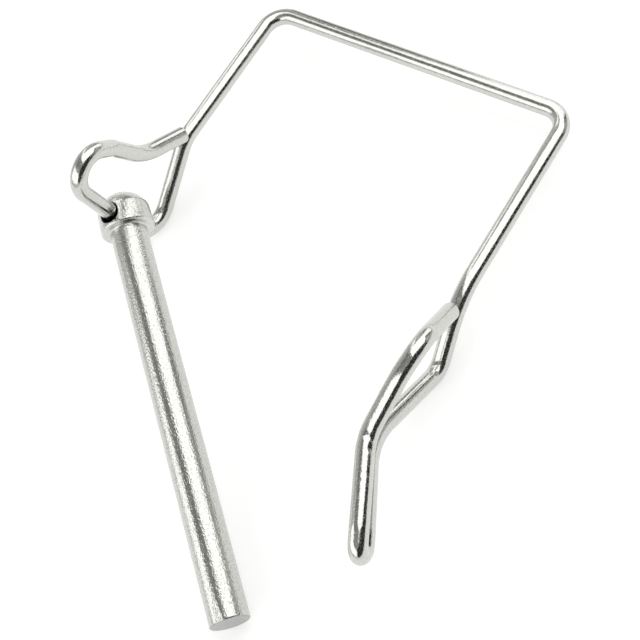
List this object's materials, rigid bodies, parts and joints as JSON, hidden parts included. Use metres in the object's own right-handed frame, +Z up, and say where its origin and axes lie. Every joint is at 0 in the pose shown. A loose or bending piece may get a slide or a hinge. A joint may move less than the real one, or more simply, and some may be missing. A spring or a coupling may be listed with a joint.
{
  "type": "coupler safety pin",
  "caption": "Trailer coupler safety pin: a headed steel lock pin that swings on a square spring-wire bail with a hinge loop, a snap eye and a finger tab, lying open.",
  "frame": {"origin": "centre of the bounding box's bottom, on the surface that the open pin lies on", "axes": "+X from the hinge loop to the eye, +Y from the hinge to the bail's top bar, +Z up from the surface"},
  "size_m": [0.0738, 0.0992, 0.0287],
  "materials": {
    "bright_zinc_wire": "bright zinc plate on smooth drawn wire",
    "dull_zinc_pin": "satin zinc plate on a turned pin, with fine grain and streaks along it"
  },
  "bodies": {
    "bail": {"wire_bail": "bright_zinc_wire"},
    "pin": {"lock_pin": "dull_zinc_pin"}
  },
  "joints": [
    {"name": "pin_swing", "type": "hinge", "parent": "bail", "child": "pin", "pos_m": [-0.03275, -0.0007, 0.01053], "axis": [0.0262, -0.1288, 0.9913], "range_deg": [-212, 22]}
  ]
}
